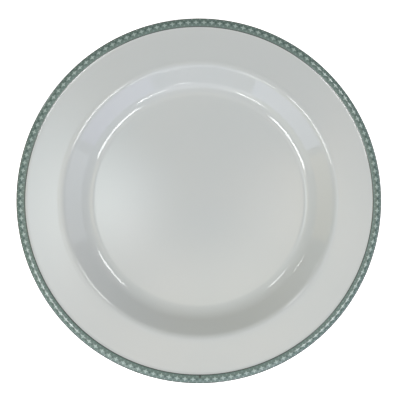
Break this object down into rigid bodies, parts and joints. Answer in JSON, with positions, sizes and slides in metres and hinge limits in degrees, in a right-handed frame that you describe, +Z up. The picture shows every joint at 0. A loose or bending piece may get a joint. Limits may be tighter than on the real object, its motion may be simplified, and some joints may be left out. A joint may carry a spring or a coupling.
{
  "type": "china dinner plate",
  "caption": "Round rimmed china dinner plate with a flat floor, a steep-walled well, a broad, nearly flat rim and a raised lip with a printed border; it stands on a foot ring.",
  "frame": {"origin": "on the table under the middle of the plate, level with the foot ring's standing edge", "axes": "+Z up along the plate's axis of symmetry, -Y towards the border's seam"},
  "size_m": [0.2701, 0.2702, 0.0213],
  "materials": {
    "bare_china": "fired and polished bone china, unglazed",
    "clear_glaze": "gloss glaze over white bone china",
    "sage_print": "gloss sage green ceramic transfer colour",
    "dark_print": "gloss dark grey-green ceramic transfer colour",
    "deep_print": "gloss deep sage ceramic transfer colour",
    "pale_print": "gloss pale celadon ceramic transfer colour",
    "soft_print": "gloss mid sage ceramic transfer colour"
  },
  "bodies": {
    "root": {"china_body": "bare_china", "main_glaze": "clear_glaze", "recess_glaze": "clear_glaze", "border_ground": "sage_print", "inner_line": "dark_print", "edge_line": "dark_print", "cross_row": "pale_print", "lozenge_row": "deep_print", "outer_dot_row": "pale_print", "inner_dot_row": "soft_print", "seam_cross": "soft_print", "seam_tick": "dark_print"}
  },
  "joints": []
}
